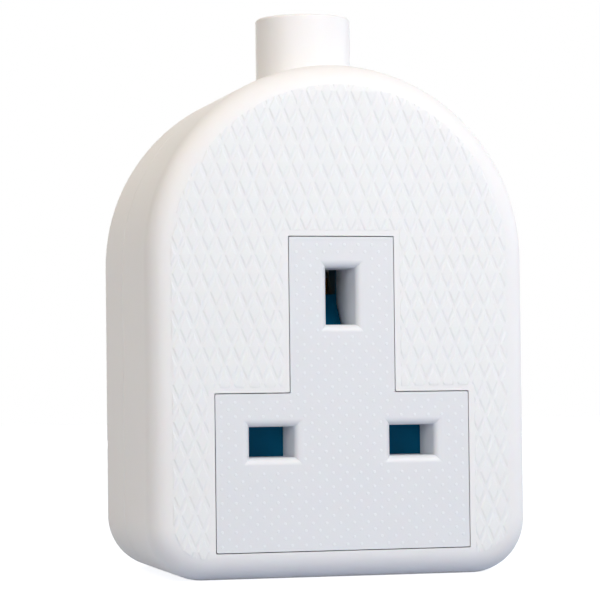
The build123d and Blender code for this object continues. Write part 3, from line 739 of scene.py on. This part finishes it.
def screw_maker():
    """Threaded screws with slotted or cross heads, one on each point, which is where its head sits."""
    sizes = {"Head radius": 2.4 * MM, "Head height": HEAD_HEIGHT * MM}
    sizes.update({"Core radius": 1.0 * MM, "Thread radius": 1.2 * MM, "Length": 12.0 * MM, "Pitch": 0.7 * MM})
    sizes.update({"Slot": 0.7 * MM, "Slot depth": 0.9 * MM, "Cross reach": 1.6 * MM, "Sides": 24})
    tree, given = new_maker("machine_screws", sizes)
    head_radius, head_height, core, thread, length, pitch, slot, slot_depth, reach, sides = (
        given.other(label) for label in sizes
    )
    tip = core * 0.6
    shank = round_part(tree, sides, core, core, tip - length, SHANK_IN_HEAD * MM)
    point = round_part(tree, sides, core * 0.5, core, 0 - length, tip - length)
    head = slotted_head(tree, sides, head_radius, head_height, slot, slot_depth, reach)
    ridge = wound_thread(tree, core, thread - core, tip - length, length - tip - pitch, pitch)
    whole = tree.node("GeometryNodeJoinGeometry", None, {"Geometry": [shank, point, head, ridge]})
    laid = tree.node("GeometryNodeTransform", None, {"Geometry": whole, "Rotation": (-math.pi / 2, 0, 0)})
    seats = tree.node("NodeGroupInput")
    screws = tree.node("GeometryNodeInstanceOnPoints", None, {"Points": seats, "Instance": laid})
    finish_maker(tree, screws, zinc)
    return tree


# %% Screws in their places
# Each group has the word in its nodes' names, its length and the reach of its cross.
SCREW_GROUPS = {
    "cover_screws": ("cover_screw", 12.0, 1.6),
    "carrier_screws": ("carrier_screw", 6.0, 1.6),
    "clamp_screws": ("cord_clamp_screw", 10.0, 0.0),
    "terminal_screws": ("terminal_screw", 3.4, 0.0),
}
machine_screws = screw_maker()
for name, (word, length, reach) in SCREW_GROUPS.items():
    found = [node for node in frame["nodes"] if word in node]
    seats = []
    for node in found:
        low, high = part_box(node)
        seats.append(((low[0] + high[0]) / 2, high[1] - HEAD_HEIGHT * MM, (low[2] + high[2]) / 2))
    piece = bake(name, machine_screws, {"Length": length * MM, "Cross reach": reach * MM}, seats)
    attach(piece, "housing")
    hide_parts(*found)

# %% [markdown]
# Five soft lamps and a pale room light the socket. The small one high up in front comes in at a
# low angle, so it draws the diamonds, and its slant to the right makes one set of their lines
# stronger than the other. The wide one in front on the left fills the slots, the ones at the
# sides round the edges off, and the last one keeps the back from going dark.
# White plastic clips easily, so every lamp stays low enough to leave the panel just under white.
# The background is white only for the camera and in reflections, so it adds no light.

# %% Lamps
scene.view_settings.view_transform = "Standard"
AIM = Vector((0, 0, 0.045))


def lamp(name, place, size, power, colour):
    """A square soft lamp that looks at the socket's middle. Lengths in metres, power in watts."""
    light = bpy.data.lights.new(name, "AREA")
    light.size, light.energy, light.color = size, power, colour
    holder = bpy.data.objects.new(name, light)
    holder.location = place
    holder.rotation_euler = (AIM - Vector(place)).to_track_quat("-Z", "Y").to_euler()
    scene.collection.objects.link(holder)
    print(name, "is", round((AIM - Vector(place)).length, 2), "m away")


lamp("wide_lamp", (-0.6, -0.78, 0.15), 0.45, 2.95, (1, 1, 0.98))
lamp("upper_lamp", (0.12, -0.27, 0.26), 0.2, 0.83, (1, 0.97, 0.95))
lamp("right_lamp", (0.98, 0.12, 0.08), 0.45, 3.0, (0.87, 0.94, 1))
lamp("left_lamp", (-0.3, -0.02, 0.34), 0.2, 0.24, (1, 0.62, 0.15))
lamp("back_lamp", (0.15, 0.95, 0.06), 0.45, 2.5, (1, 0.94, 0.84))


# %% Room
def looked_at(tree):
    """1 for the camera and for what shows in or through a piece, and 0 for light that spreads."""
    path = tree.node("ShaderNodeLightPath", output="Is Camera Ray")
    return path.above(path.other("Is Glossy Ray")).above(path.other("Is Transmission Ray"))


world = bpy.data.worlds.new("pale_room")
world.use_nodes = True
scene.world = world
room = Tree(world.node_tree)
seen = looked_at(room)
background = world.node_tree.nodes["Background"]
room.feed(background.inputs["Color"], blend(room, seen, (1, 0.97, 0.9, 1), (1, 1, 1, 1)))
room.feed(background.inputs["Strength"], 0.33 + seen * 0.67)
print("The room's tree has", len(world.node_tree.nodes), "nodes")

# %% [markdown]
# The socket stands on a matt floor, far wider than the picture, so that its edge never shows.
# The light that it throws back is a cool grey, but the camera and reflections see it glow, so it
# joins the white behind it and keeps only a faint shadow.

# %% Floor
FLOOR_SIZE = 1.5
floor_mesh = bpy.data.meshes.new("floor")
build = bmesh.new()
bmesh.ops.create_grid(build, x_segments=1, y_segments=1, size=FLOOR_SIZE)
build.to_mesh(floor_mesh)
build.free()
floor = link("floor", floor_mesh)
floor_white, tree, shader = new_finish("floor_white", {"Roughness": 0.9, "Specular IOR Level": 0.1})
shader.inputs["Base Color"].default_value = (0.4, 0.45, 0.56, 1)
shader.inputs["Emission Color"].default_value = (1, 1, 1, 1)
tree.feed(shader.inputs["Emission Strength"], looked_at(tree) * 0.85)
floor_mesh.materials.append(floor_white)
